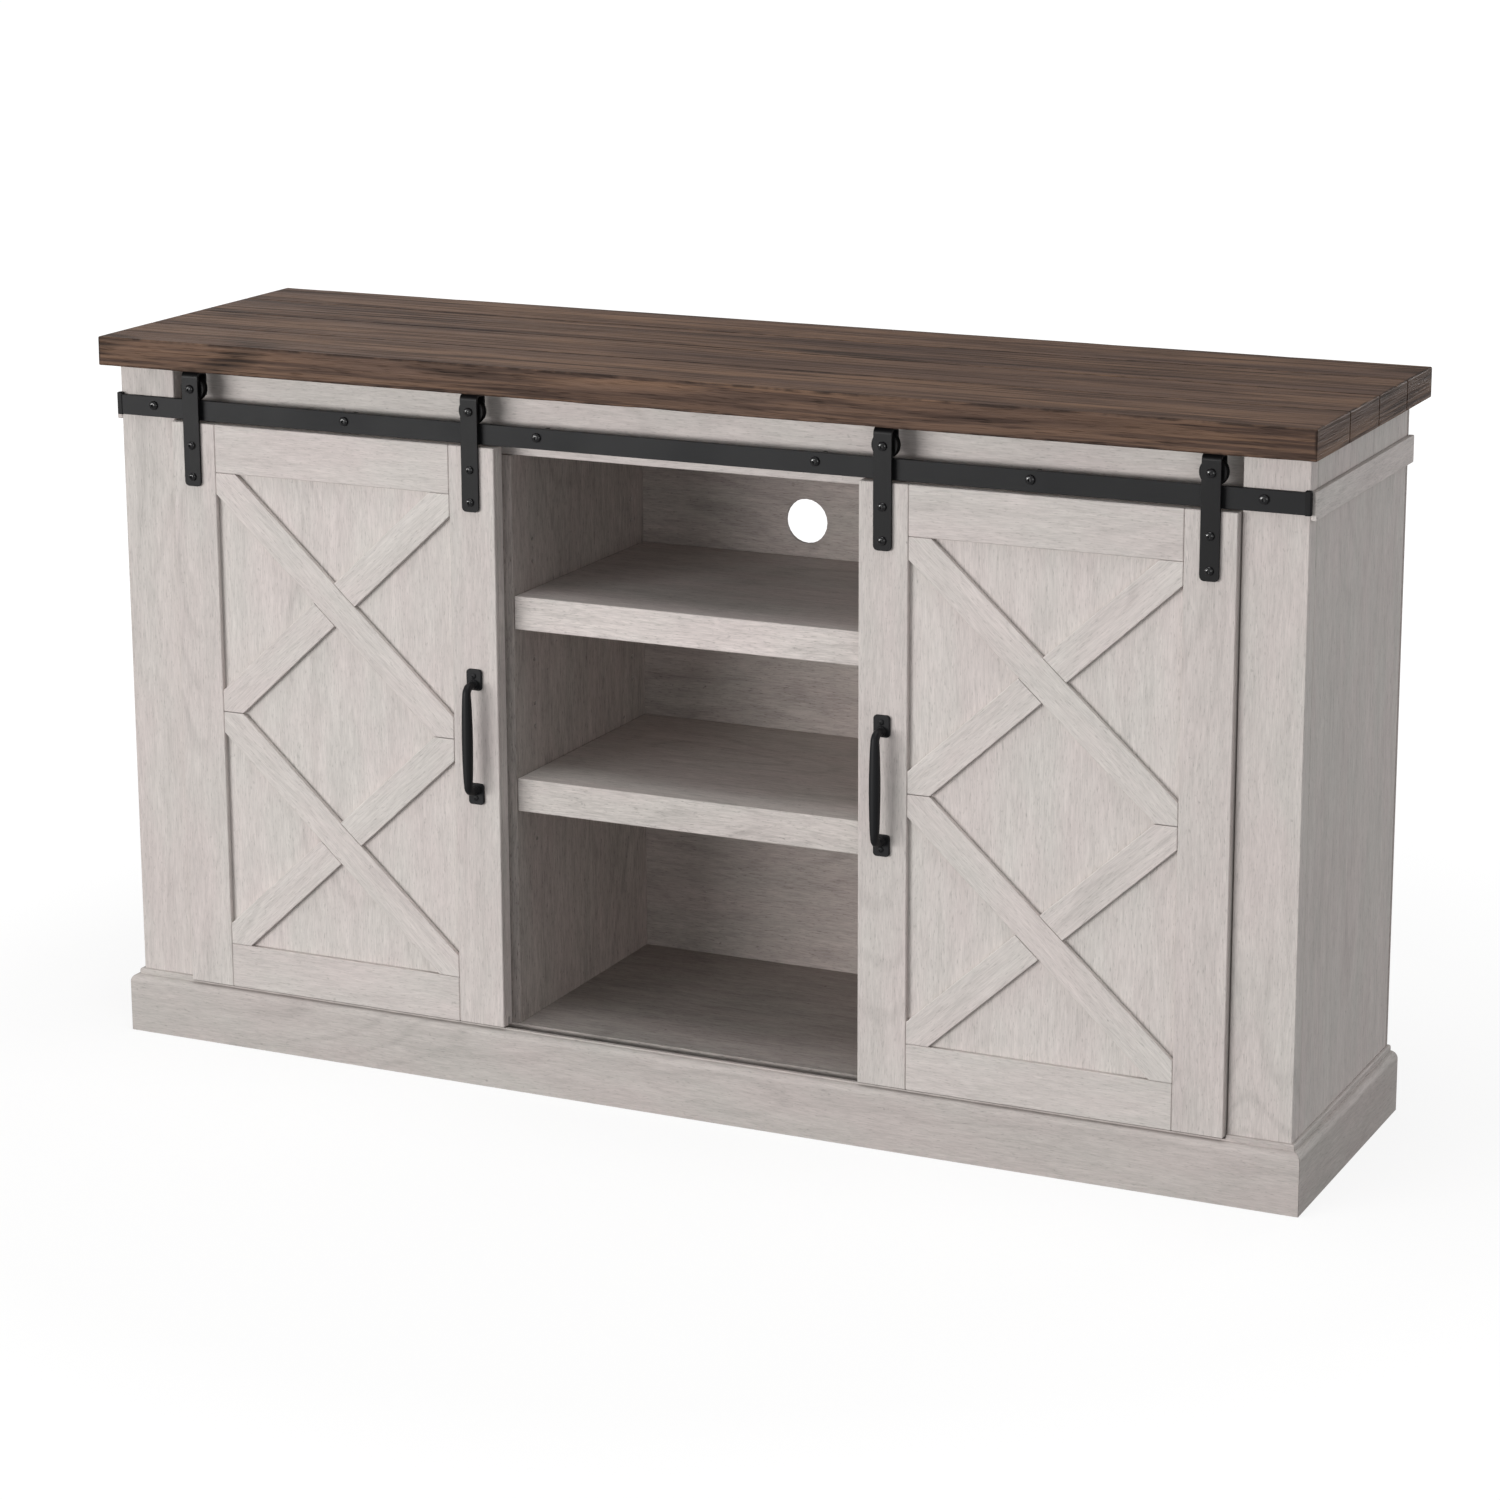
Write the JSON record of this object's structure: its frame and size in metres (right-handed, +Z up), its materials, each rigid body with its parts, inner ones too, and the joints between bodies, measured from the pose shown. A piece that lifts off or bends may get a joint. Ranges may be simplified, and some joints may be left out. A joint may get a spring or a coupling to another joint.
{
  "type": "tv stand with sliding barn doors",
  "caption": "Low media console with a plank top, a middle bay of open shelves and barn doors with crossed slats that roll along a flat front rail.",
  "frame": {"origin": "on the floor, under the centre of the whole object's box", "axes": "+X to the right as someone facing the doors sees it, +Y towards the back, +Z up"},
  "size_m": [1.372, 0.4002, 0.794],
  "materials": {
    "whitewashed_wood": "pale grey whitewash over a fine grain, satin",
    "walnut_top": "weathered brown, long grain, satin",
    "black_metal": "black powder coat, matte",
    "black_plastic": "black, matte"
  },
  "bodies": {
    "cabinet": {"back_panel": "whitewashed_wood", "barn_rail": "black_metal", "bottom_panel": "whitewashed_wood", "left_bay_shelf": "whitewashed_wood", "left_centre_rail_bolt": "black_metal", "left_centre_rail_spacer": "black_metal", "left_divider": "whitewashed_wood", "left_door_guide": "black_plastic", "left_end_rail_bolt": "black_metal", "left_front_stile": "whitewashed_wood", "left_middle_rail_bolt": "black_metal", "left_middle_rail_spacer": "black_metal", "left_side_band": "whitewashed_wood", "left_side_panel": "whitewashed_wood", "lower_shelf": "whitewashed_wood", "plinth_front": "whitewashed_wood", "plinth_left": "whitewashed_wood", "plinth_right": "whitewashed_wood", "rail_backer": "whitewashed_wood", "right_bay_shelf": "whitewashed_wood", "right_centre_rail_bolt": "black_metal", "right_centre_rail_spacer": "black_metal", "right_divider": "whitewashed_wood", "right_door_guide": "black_plastic", "right_end_rail_bolt": "black_metal", "right_front_stile": "whitewashed_wood", "right_middle_rail_bolt": "black_metal", "right_middle_rail_spacer": "black_metal", "right_side_band": "whitewashed_wood", "right_side_panel": "whitewashed_wood", "top": "walnut_top", "upper_shelf": "whitewashed_wood"},
    "left_door": {"left_door_board": "whitewashed_wood", "left_door_bottom_rail": "whitewashed_wood", "left_door_handle": "black_metal", "left_door_inner_axle": "black_metal", "left_door_inner_hanger": "black_metal", "left_door_inner_stile": "whitewashed_wood", "left_door_lower_cross": "whitewashed_wood", "left_door_outer_axle": "black_metal", "left_door_outer_hanger": "black_metal", "left_door_outer_stile": "whitewashed_wood", "left_door_top_rail": "whitewashed_wood", "left_door_upper_cross": "whitewashed_wood"},
    "right_door": {"right_door_board": "whitewashed_wood", "right_door_bottom_rail": "whitewashed_wood", "right_door_handle": "black_metal", "right_door_inner_axle": "black_metal", "right_door_inner_hanger": "black_metal", "right_door_inner_stile": "whitewashed_wood", "right_door_lower_cross": "whitewashed_wood", "right_door_outer_axle": "black_metal", "right_door_outer_hanger": "black_metal", "right_door_outer_stile": "whitewashed_wood", "right_door_top_rail": "whitewashed_wood", "right_door_upper_cross": "whitewashed_wood"},
    "left_outer_wheel": {"left_door_outer_wheel": "black_plastic"},
    "left_inner_wheel": {"left_door_inner_wheel": "black_plastic"},
    "right_outer_wheel": {"right_door_outer_wheel": "black_plastic"},
    "right_inner_wheel": {"right_door_inner_wheel": "black_plastic"}
  },
  "joints": [
    {"name": "left_door_slide", "type": "slide", "parent": "cabinet", "child": "left_door", "axis": [1, 0, 0], "range_m": [0, 0.206]},
    {"name": "left_outer_wheel_spin", "type": "hinge", "parent": "left_door", "child": "left_outer_wheel", "pos_m": [-0.578, -0.16865, 0.7415], "axis": [0, 1, 0], "continuous": true},
    {"name": "left_inner_wheel_spin", "type": "hinge", "parent": "left_door", "child": "left_inner_wheel", "pos_m": [-0.235, -0.16865, 0.7415], "axis": [0, 1, 0], "continuous": true},
    {"name": "right_door_slide", "type": "slide", "parent": "cabinet", "child": "right_door", "axis": [-1, 0, 0], "range_m": [0, 0.206]},
    {"name": "right_outer_wheel_spin", "type": "hinge", "parent": "right_door", "child": "right_outer_wheel", "pos_m": [0.578, -0.16865, 0.7415], "axis": [0, -1, 0], "continuous": true},
    {"name": "right_inner_wheel_spin", "type": "hinge", "parent": "right_door", "child": "right_inner_wheel", "pos_m": [0.235, -0.16865, 0.7415], "axis": [0, -1, 0], "continuous": true}
  ],
  "couplings": [
    {"joint": "left_outer_wheel_spin", "follows": "left_door_slide", "rad_per_m": 78.74},
    {"joint": "left_inner_wheel_spin", "follows": "left_door_slide", "rad_per_m": 78.74},
    {"joint": "right_outer_wheel_spin", "follows": "right_door_slide", "rad_per_m": 78.74},
    {"joint": "right_inner_wheel_spin", "follows": "right_door_slide", "rad_per_m": 78.74}
  ]
}
